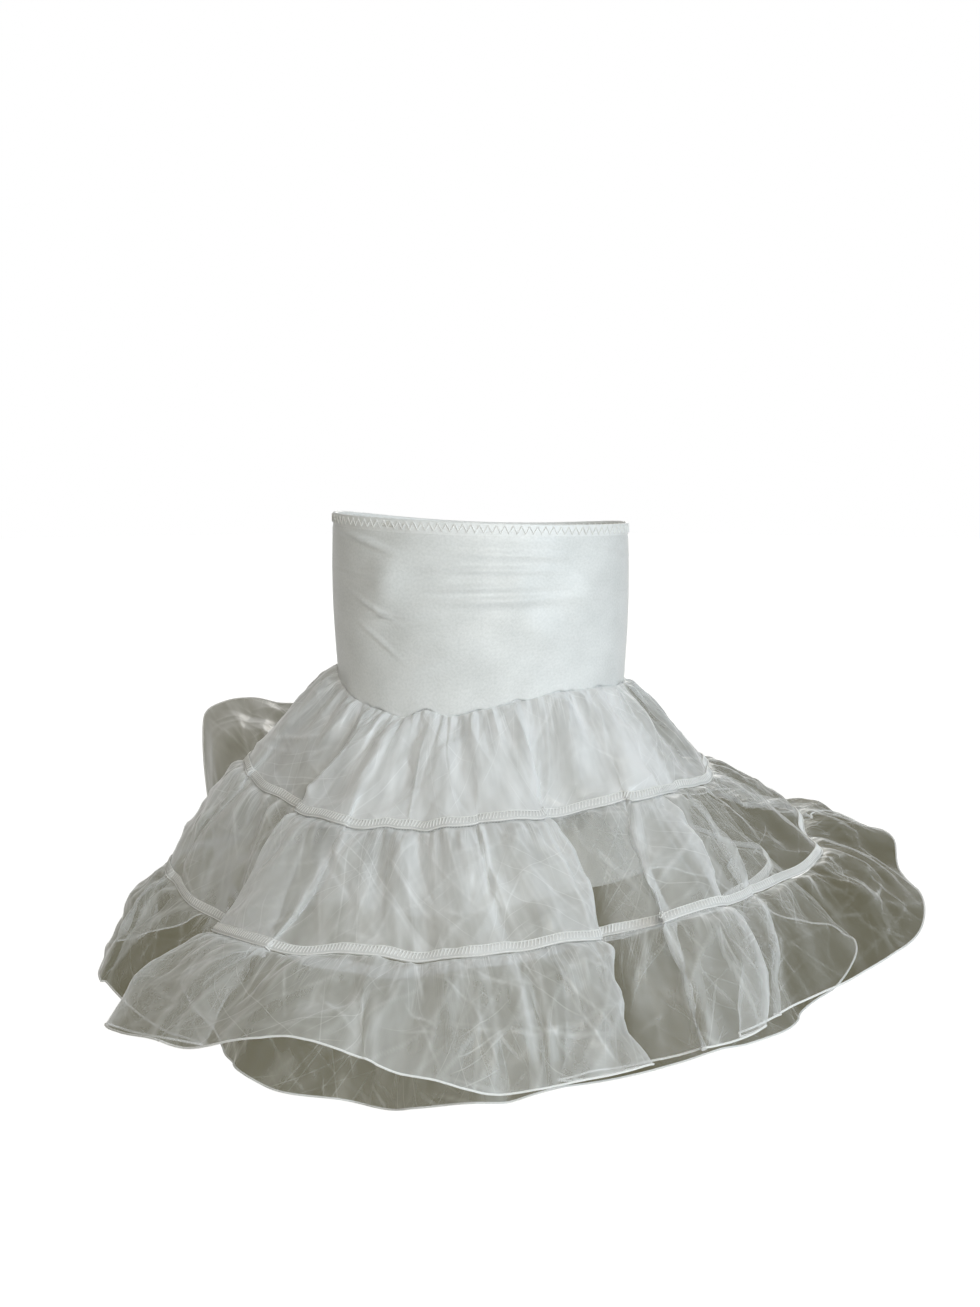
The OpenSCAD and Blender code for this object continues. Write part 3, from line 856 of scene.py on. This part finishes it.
def thread_coverage(layer, tier, s, t, streaks, bent):
    seed = tier_seed(layer, tier)
    cloud = (loop_wave(seed + 3, 26, s + 0.02 * np.sin(5 * t), False)
             * np.cos(3 * t + 2 * loop_wave(seed + 4, 14, s, False)))
    steps_at, *crowds = zip(*CROWDING)
    crowded = np.interp(s * STEPS, steps_at, crowds[tier], period=STEPS)
    keen = np.clip(crowded / 0.9, 0.4, 1)
    coverage = PLAIN_COVERAGE[layer] * crowded * (1 + 0.25 * cloud)
    coverage = (coverage + STREAK_COVERAGE * streaks + SEAM_COVERAGE * np.exp(-t / 0.05)
                + BENT_COVERAGE * bent * keen)
    if layer == OUTER:
        coverage = coverage + TUCK_COVERAGE * tuck(*np.broadcast_arrays(s, tier + t))[1]
    return np.clip(coverage, LEAST_COVERAGE, MOST_COVERAGE)


print("plain organza covers", PLAIN_COVERAGE[OUTER], "of the view")

# %% [markdown]
# A tier is its plain place on the layer, lifted along the outward direction by all of these. Sewing calms
# the cloth: pleats flatten at a tape, creases fade at both edges, and the hem at the left is pulled
# nearly straight. Near the yoke's seam the outer layer lifts only outwards and the inner one only
# inwards, so that they don't cut through each other.

# %% Points of a tier
PUFFS, PUFF_POWER, HEM_SWAY = (0.006, 0.007, 0.010), 0.65, 0.004
TAUT, TAUT_STEP, TAUT_WIDTH = 0.65, 20.5, 3
TUCKED_BEHIND, YOKE_GAP = -0.0012, 0.0004


def tier_points(layer, tier, share, t, width):
    """Points of a gathered tier, and the coverage of its threads."""
    s, t = share[None, :], t[:, None]
    sway = mix(seam_sway(layer, tier, s), seam_sway(layer, tier + 1, s), t)
    base = layer_point(layer, s, tier + t + sway)
    pleats, streaks = pleat_waves(layer, tier, s, t)
    ridges, bent = tier_creases(layer, tier, width, s, t)
    puff = PUFFS[tier] * np.sin(np.pi * np.clip(t, 0, 1) ** PUFF_POWER) * (layer == OUTER)
    behind = TUCKED_BEHIND * (1 - smooth(t / 0.06)) * (tier > 0)
    if tier == 2:
        sewn, hem_calm, below = 1, mix(0.3, 1, smooth((1 - t) / 0.3)), 0
        hem_sway = HEM_SWAY * loop_wave(tier_seed(layer, tier) + 9, 50, s, True) * smooth((t - 0.5) / 0.5)
        pulled = np.exp(-(((s * STEPS - TAUT_STEP) / TAUT_WIDTH) ** 2))
        taut = 1 - TAUT * pulled * smooth((t - 0.3) / 0.7)
    else:
        sewn, hem_calm, below = smooth((1 - t) / 0.25), smooth((1 - t) / 0.12), edge_wave(layer, tier, s)
        hem_sway, taut = 0, 1
    joined = mix(edge_wave(layer, tier - 1, s), below, smooth(t))
    calm = smooth(t / 0.08) * hem_calm
    lift = (pleats * sewn + ridges * calm + hem_sway) * taut + puff + behind + joined
    if tier == 0:
        side = 1 if layer == OUTER else -1
        close = 1 - smooth(t / 0.25)
        lift = mix(lift, side * np.abs(lift) + side * YOKE_GAP, close) * smooth(t / 0.02 + 0.1)
    points = base + grid_normals(base) * lift[..., None]
    return points, thread_coverage(layer, tier, s, t, streaks, bent)


print("stiff gathers puff the tiers out by", PUFFS, "m")

# %% [markdown]
# The last rows of a tier are spaced to the width of the tape, which is later sewn on them. The uppermost
# tier has two more rows at its top: the seam turning, which lies up inside the yoke.

# %% Sewing a tier
TURNED_UP, TURNED_SHARES = (0.008, 0.003), (-0.053, -0.02)
TAPE_ROWS = 4


def turned_in(layer, share):
    """Two rows of the seam turning, up inside the yoke."""
    u = np.radians(fold_at(share)[..., 0]) if layer == OUTER else 2 * np.pi * share
    rows = []
    for rise in TURNED_UP:
        plan = yoke_plan(rise / (waist_z(u) - seam_z(u)), u, layer_inset(layer) + 0 * u)
        rows.append(at_height(plan, seam_z(u) + rise))
    return np.stack(rows)


def make_tier(name, layer, tier, columns, rows, material):
    share = np.arange(columns) / columns
    width = row_length(layer_point(layer, share, tier + 1.0))
    length = LENGTHS[layer][tier]
    if tier < 2:
        tape = 1 - TAPE_WIDTH / length
        t = np.concatenate([np.linspace(0, tape, rows), np.linspace(tape, 1, TAPE_ROWS)[1:]])
    else:
        t = np.linspace(0, 1, rows)
    points, coverage = tier_points(layer, tier, share, t, width)
    if tier == 0:
        points = np.concatenate([turned_in(layer, share), points])
        coverage = np.concatenate([coverage[:1], coverage[:1], coverage])
        t = np.concatenate([TURNED_SHARES, t])
    piece = cloth_sheet(name, points, share * width, -t * length, material, coverage)
    print(f"{name}: {len(piece.data.polygons)} faces, cut {width:.2f} x {length:.3f} m")
    return points, width


# %% The outer tiers
TIER_NAMES = ("upper_tier", "middle_tier", "lower_tier")
grids, widths = {}, {}
for tier, columns, rows in ((0, 1300, 56), (1, 1640, 56), (2, 1960, 49)):
    name = "outer_" + TIER_NAMES[tier]
    grids[OUTER, tier], widths[name] = make_tier("soft_" + name, OUTER, tier, columns, rows, outer_organza)

# %% The inner tiers
for tier, columns, rows in ((0, 800, 40), (1, 1000, 44), (2, 1200, 44)):
    name = "inner_" + TIER_NAMES[tier]
    grids[INNER, tier], widths[name] = make_tier("soft_" + name, INNER, tier, columns, rows, inner_organza)

# %% [markdown]
# ## The yoke
# The yoke is stretch satin, cut narrow and pulled smooth, so it has few folds: some flat stress wrinkles
# across the front and short pulls near the left side. The back is given the same ones, mirrored and
# weaker. Each wrinkle is a low ridge with a shallow hollow on either side.

# %% Stress wrinkles
# Middle across, distance below the waist, half length, half height, depth, slope
WRINKLES = ((-0.005, 0.051, 0.060, 0.0042, 0.0036, 0.02), (-0.015, 0.071, 0.050, 0.0050, 0.0046, 0.04),
            (0.015, 0.084, 0.070, 0.0070, 0.0036, 0.05), (-0.100, 0.106, 0.045, 0.0036, 0.0044, 0.06),
            (-0.128, 0.026, 0.030, 0.0045, 0.0050, -0.30), (-0.135, 0.064, 0.030, 0.0040, 0.0026, -0.05),
            (-0.120, 0.098, 0.024, 0.0035, 0.0034, -0.55), (0.150, 0.032, 0.022, 0.0040, 0.0036, -0.25),
            (-0.112, 0.135, 0.022, 0.0030, 0.0026, -0.75), (0.02, 0.034, 0.080, 0.0050, 0.0022, 0.0),
            (-0.103, 0.068, 0.022, 0.0420, 0.0080, 0.25), (0.070, 0.120, 0.030, 0.0260, 0.0034, -0.2),
            (-0.030, 0.135, 0.040, 0.0200, 0.0024, 0.1), (0.118, 0.075, 0.022, 0.0420, 0.0060, 0.2),
            (0.045, 0.075, 0.016, 0.0300, 0.0026, -0.1), (-0.060, 0.160, 0.030, 0.0120, 0.0020, 0.3))


def yoke_lift(x, below, shown):
    """How far the satin stands out at a distance from the middle and below the waist."""
    lift = 0 * x
    for x0, z0, half, tall, depth, slope in WRINKLES:
        dx = x - x0
        dz = (below - z0 + slope * dx) / tall
        lift = lift + depth * (1 - 1.2 * dz**2) * np.exp(-(dz**2)) * np.exp(-((dx / half) ** 2)) * shown
    return lift


print(len(WRINKLES), "wrinkles")

# %% [markdown]
# The yoke's section is followed from the lower seam up the outside, over the top and down the inside of
# the casing that holds the elastic. A groove marks the casing's lower edge, and the gathers scallop the
# seam. A Solidify modifier gives the thickness.

# %% The yoke
YOKE_COLUMNS, YOKE_GIRTH, YOKE_UV_HEIGHT = 520, 0.93, 0.19
BACK_SHARE, BACK_SHIFT, BACK_LOWER = 0.6, 0.02, 0.006
GROOVE_DEPTH, GROOVE_BELOW, GROOVE_WIDTH, SEAM_PUCKER = 0.0010, 0.0130, 0.0018, 0.0007
# The casing, over the top and down the inside: how far inside the satin, how far below the waist
CASING = ((0.0004, -0.0002), (0.0016, -0.0004), (0.0028, 0.0004), (0.0031, 0.002), (0.0031, 0.006),
          (0.0031, 0.0111))


def outside_row(share, below):
    """Row of the satin's outside at a share of the way from the waist down to the seam."""
    u = 2 * np.pi * share
    under = below * (waist_z(u) - seam_z(u))
    height = 1 - below + 0 * u
    plan = yoke_plan(height, u, 0 * u)
    front, back = np.clip(-np.sin(u) * 3, 0, 1), np.clip(np.sin(u) * 3, 0, 1)
    lift = yoke_lift(plan[:, 0], under, front)
    lift = lift + BACK_SHARE * yoke_lift(-plan[:, 0] + BACK_SHIFT, under + BACK_LOWER, back)
    lift = lift + SEAM_PUCKER * loop_wave(72, 46, share, True) * smooth((below - 0.72) / 0.28)
    lift = lift - GROOVE_DEPTH * np.exp(-(((under - GROOVE_BELOW) / GROOVE_WIDTH) ** 2))
    scallop = 0.0022 * loop_wave(71, 34, share, True, 0.5) + 0.0010 * loop_wave(74, 90, share, True)
    z = mix(waist_z(u), seam_z(u), below) + scallop * smooth((below - 0.86) / 0.14)
    return at_height(plan + lift[:, None] * oval_normal(yoke_radii(height), u), z)


def height_below(u, lower):
    """Height on the yoke, 0 at the seam and 1 at the waist, of a distance below the waist."""
    return 1 - lower / (waist_z(u) - seam_z(u))


def inside_row(share, lower, inset):
    """Row a distance below the waist and a distance inside the satin."""
    u = 2 * np.pi * share
    return at_height(yoke_plan(height_below(u, lower), u, inset + 0 * u), waist_z(u) - lower)


share = np.arange(YOKE_COLUMNS) / YOKE_COLUMNS
levels = np.concatenate([np.linspace(1, 0.03, 64), [0.015, 0.004]])
rows = [outside_row(share, below) for below in levels]
rows += [inside_row(share, lower, inset) for inset, lower in CASING]
down = [below * YOKE_UV_HEIGHT for below in levels] + [-lower - 0.001 for _, lower in CASING]
yoke_rows = np.stack(rows)[::-1]
yoke = cloth_sheet("soft_yoke", yoke_rows, share * YOKE_GIRTH, np.array(down)[::-1], satin)
yoke.data.flip_normals()
give_wall(yoke, SATIN_WALL, 1)
print("yoke:", len(yoke.data.polygons), "faces, height", round(float(np.ptp(yoke_rows[..., 2])), 3), "m")

# %% [markdown]
# ## The lining
# A plain lining hangs from the yoke seam inside the sheer layers. It keeps the white middle of the skirt
# closed to view and is a soft tube with a few slow waves.

# %% The lining
LINING_COLUMNS, LINING_ROWS, LINING_GIRTH, LINING_WALL = 420, 60, 1.05, 0.0005
SLOW_WAVE, LINING_GAP = 0.0022, 0.0004
share = np.arange(LINING_COLUMNS) / LINING_COLUMNS
place = np.linspace(0, 1, LINING_ROWS)
points = layer_point(LINING, share[None, :], place[:, None])
waves = SLOW_WAVE * loop_wave(81, 26, share, True)[None, :] * smooth(place / 0.5)[:, None]
points = points + grid_normals(points) * (waves - LINING_GAP)[..., None]
points = np.concatenate([turned_in(LINING, share), points])
down = np.concatenate([-np.array(TURNED_UP), place * LENGTHS[LINING][0]])
lining = cloth_sheet("soft_lining", points, share * LINING_GIRTH, -down, shade_dimmed_lining_cloth)
give_wall(lining, LINING_WALL, -1)
print("lining:", len(lining.data.polygons), "faces")

# %% [markdown]
# ## The elastic
# The elastic runs inside the casing and shows nowhere, but it is there: a flat braided band.

# %% The elastic
ELASTIC_TOP, ELASTIC_FOOT, ELASTIC_INSET, ELASTIC_WALL = 0.0013, 0.0089, 0.00175, 0.0008
ELASTIC_ROWS, ELASTIC_COLUMNS, ELASTIC_GIRTH = 6, 200, 0.91
share = np.arange(ELASTIC_COLUMNS) / ELASTIC_COLUMNS
levels = np.linspace(ELASTIC_TOP, ELASTIC_FOOT, ELASTIC_ROWS)
band = np.stack([inside_row(share, lower, ELASTIC_INSET) for lower in levels])
elastic = cloth_sheet("soft_elastic", band, share * ELASTIC_GIRTH, ELASTIC_TOP - levels, elastic_braid)
give_wall(elastic, ELASTIC_WALL, 0)
print("elastic:", len(elastic.data.polygons), "faces")

# %% [markdown]
# ## Tapes and hems
# A tape covers each tier seam. It is sewn flat on the lower edge of a tier, so it takes the last rows of
# that tier and lies a millimetre outside them. The hem is a narrow roll round the last row of the lower
# tier.

# %% Tapes and hems
TAPE_LIFTS, TAPE_WALL, HEM_SIDES = (0.0006, 0.0011, 0.0011, 0.0006), 0.0006, 8
# Rounded length of each tape, which its UV map goes by
TAPE_UV_LENGTHS = {"upper": 2.0, "lower": 3.0}


def make_tape(name, grid, uv_length):
    edge = grid[-TAPE_ROWS:]
    normals = grid_normals(edge)
    strip = edge + normals * np.array(TAPE_LIFTS)[:, None, None]
    columns = strip.shape[1]
    tape = cloth_sheet(name, strip, np.arange(columns) / columns * uv_length,
                       -np.linspace(0, TAPE_WIDTH, TAPE_ROWS), tape_cloth)
    give_wall(tape, TAPE_WALL, 1)
    print(name, "length", round(row_length(strip[1]), 2), "m")
    return strip, normals


def make_hem(name, edge, radius):
    """Round roll along a closed row of points."""
    along = np.roll(edge, -1, 0) - np.roll(edge, 1, 0)
    along /= np.linalg.norm(along, axis=-1, keepdims=True)
    out = np.cross(along, [0, 0, 1.0])
    out /= np.linalg.norm(out, axis=-1, keepdims=True)
    up = np.cross(out, along)
    turns = np.linspace(0, 2 * np.pi, HEM_SIDES, endpoint=False)
    rings = np.stack([edge + radius * (np.cos(a) * out - np.sin(a) * up) for a in turns])
    columns = len(edge)
    hem = cloth_sheet(name, rings, np.arange(columns) / columns * row_length(edge), turns * radius, tape_rib)
    roll = bmesh.new()
    roll.from_mesh(hem.data)
    roll.verts.ensure_lookup_table()
    last = (HEM_SIDES - 1) * columns
    for c in range(columns):
        after = (c + 1) % columns
        face = roll.faces.new([roll.verts[i] for i in (last + c, c, after, last + after)])
        face.smooth = True
    bmesh.ops.recalc_face_normals(roll, faces=roll.faces)
    roll.to_mesh(hem.data)
    roll.free()
    print(name, "length", round(row_length(edge), 2), "m")


tape_rows = {}
for layer in (OUTER, INNER):
    for tier, which in enumerate(TAPE_UV_LENGTHS):
        name = f"soft_{LAYER_NAMES[layer]}_{which}_tape"
        tape_rows[name] = make_tape(name, grids[layer, tier], TAPE_UV_LENGTHS[which])
    make_hem(f"soft_{LAYER_NAMES[layer]}_hem", grids[layer, 2][-1], HEM_RADIUS)

# %% [markdown]
# ## Ribs and stitches
# The tapes have a rib every few millimetres and stitched edges, and a zigzag holds the casing. All of
# these are short bars that follow a path, so one Geometry Nodes tree makes them: it walks along the path
# at even steps, sets a bar at each, stands it on the cloth by the stored outward direction, and turns it.
# A swing that changes sign from bar to bar gives the zigzag.

# %% Node tree for bars along a path
BAR_SIDES = 6
BAR_INPUTS = {"Geometry": "Geometry", "Spacing": "Float", "Length": "Float", "Radius": "Float",
              "Turn": "Float", "Swing": "Float", "Material": "Material"}


def make_bar_tree():
    tree = bpy.data.node_groups.new("bars_along_path", "GeometryNodeTree")
    for name, kind in BAR_INPUTS.items():
        tree.interface.new_socket(name, in_out="INPUT", socket_type="NodeSocket" + kind)
    tree.interface.new_socket("Geometry", in_out="OUTPUT", socket_type="NodeSocketGeometry")
    given = tree.nodes.new("NodeGroupInput").outputs
    path = add_node(tree, "GeometryNodeMeshToCurve", {"Mesh": given["Geometry"]})
    steps = add_node(tree, "GeometryNodeResampleCurve", {
        "Curve": path.outputs["Curve"], "Length": given["Spacing"]}, mode="LENGTH")
    outward = add_node(tree, "GeometryNodeInputNamedAttribute", {"Name": "outward"}, data_type="FLOAT_VECTOR")
    stand = add_node(tree, "FunctionNodeAlignRotationToVector", {
        "Vector": outward.outputs["Attribute"]}, axis="Z")
    tangent = add_node(tree, "GeometryNodeInputTangent")
    follow = add_node(tree, "FunctionNodeAlignRotationToVector", {
        "Rotation": stand.outputs["Rotation"], "Vector": tangent.outputs[0]}, axis="X", pivot_axis="Z")
    odd = math(tree, "MODULO", add_node(tree, "GeometryNodeInputIndex").outputs[0], 2.0)
    sign = math(tree, "MULTIPLY_ADD", odd, 2.0, -1.0)
    angle = math(tree, "MULTIPLY_ADD", sign, given["Swing"], given["Turn"])
    spin = add_node(tree, "FunctionNodeAxisAngleToRotation", {"Axis": (0, 0, 1), "Angle": angle})
    turned = add_node(tree, "FunctionNodeRotateRotation", {
        "Rotation": follow.outputs["Rotation"], "Rotate By": spin.outputs["Rotation"]},
        rotation_space="LOCAL")
    bar = add_node(tree, "GeometryNodeMeshCylinder", {
        "Vertices": BAR_SIDES, "Radius": given["Radius"], "Depth": given["Length"]})
    lie = add_node(tree, "GeometryNodeTransform", {
        "Geometry": bar.outputs["Mesh"], "Rotation": (0, np.pi / 2, 0)})
    place = add_node(tree, "GeometryNodeInstanceOnPoints", {
        "Points": steps.outputs["Curve"], "Instance": lie.outputs["Geometry"],
        "Rotation": turned.outputs["Rotation"]})
    real = add_node(tree, "GeometryNodeRealizeInstances", {"Geometry": place.outputs["Instances"]})
    finish = add_node(tree, "GeometryNodeSetMaterial", {
        "Geometry": real.outputs["Geometry"], "Material": given["Material"]})
    made = tree.nodes.new("NodeGroupOutput").inputs
    tree.links.new(finish.outputs["Geometry"], made["Geometry"])
    return tree


bar_tree = make_bar_tree()
print("tree:", bar_tree.name, "with", len(bar_tree.nodes), "nodes")

# %% Bars along a path


def bars_along(name, loops, spacing, length, radius, turn=0.0, swing=0.0, material=thread):
    """One mesh of bars along closed loops. Each loop is its points and its outward directions."""
    points = np.concatenate([p for p, _ in loops])
    outward = np.concatenate([n for _, n in loops])
    edges, first = [], 0
    for p, _ in loops:
        count = len(p)
        edges += [(first + i, first + (i + 1) % count) for i in range(count)]
        first += count
    mesh = bpy.data.meshes.new(name)
    mesh.from_pydata(points.tolist(), edges, [])
    mesh.attributes.new("outward", "FLOAT_VECTOR", "POINT").data.foreach_set(
        "vector", outward.reshape(-1).astype(np.float32))
    piece = bpy.data.objects.new(name, mesh)
    scene.collection.objects.link(piece)
    modifier = piece.modifiers.new("bars", "NODES")
    modifier.node_group = bar_tree
    values = {"Spacing": spacing, "Length": length, "Radius": radius, "Turn": turn, "Swing": swing,
              "Material": material}
    for item in bar_tree.interface.items_tree:
        if item.in_out == "INPUT" and item.name in values:
            modifier[item.identifier] = values[item.name]
    view = bpy.context.evaluated_depsgraph_get()
    piece.data = bpy.data.meshes.new_from_object(piece.evaluated_get(view))
    piece.modifiers.remove(modifier)
    piece.data.name = name
    pieces[name] = piece
    print(name, len(piece.data.polygons), "faces")


# %% Ribs and edge stitches of the tapes
RIB = {"spacing": 0.0036, "length": 0.0070, "radius": 0.00060, "turn": np.pi / 2 - 0.25}
STITCH = {"spacing": 0.0034, "length": 0.0032, "radius": 0.00055}
# Share of the way down the tape, row whose outward direction holds there, and height above the cloth
RIB_LINE, LOW_STITCHES, HIGH_STITCHES = (0.40, 1, 0.0009), (0.93, 3, 0.0009), (0.06, 0, 0.0008)


def line_on_tape(strip, normals, share, row, height):
    return mix(strip[0], strip[-1], share) + normals[row] * height, normals[row]


for name, tape in tape_rows.items():
    bars_along(name + "_ribs", [line_on_tape(*tape, *RIB_LINE)], **RIB, material=tape_rib)
    edges = [line_on_tape(*tape, *line) for line in (LOW_STITCHES, HIGH_STITCHES)]
    bars_along(name + "_stitches", edges, **STITCH)

# %% Zigzag of the casing
ZIGZAG = {"spacing": 0.0046, "length": 0.0098, "radius": 0.00055, "swing": np.radians(62)}
ZIGZAG_COLUMNS, ZIGZAG_BELOW, ZIGZAG_PROUD, ZIGZAG_INSIDE = 400, 0.0062, 0.0006, 0.0035
share = np.arange(ZIGZAG_COLUMNS) / ZIGZAG_COLUMNS
u = 2 * np.pi * share
outward = at_height(oval_normal(yoke_radii(height_below(u, ZIGZAG_BELOW)), u), 0 * u)
bars_along("waist_zigzag", [(inside_row(share, ZIGZAG_BELOW, -ZIGZAG_PROUD), outward)], **ZIGZAG)
bars_along("waist_zigzag_inside", [(inside_row(share, ZIGZAG_BELOW, ZIGZAG_INSIDE), -outward)], **ZIGZAG)

# %% [markdown]
# ## What each piece stands for
# Every piece moves with the one body, tapes, ribs and stitches as well, and each cloth replaces its
# plain solid.

# %% Bodies and replaced solids
for name, piece in pieces.items():
    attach(piece, "root")
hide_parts("yoke")
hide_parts("lining")
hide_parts("waist_elastic")
for layer in ("outer", "inner"):
    for part in (*TIER_NAMES, "upper_tape", "lower_tape", "hem"):
        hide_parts(f"{layer}_{part}")
print(len(pieces), "pieces")

# %% How many sheets there are
for layer in (OUTER, INNER):
    for tier, which in enumerate(TIER_NAMES):
        name = f"{LAYER_NAMES[layer]}_{which}"
        if tier < 2:
            tape = f"soft_{LAYER_NAMES[layer]}_{('upper', 'lower')[tier]}_tape"
print("sheets:", 2 + len(widths))
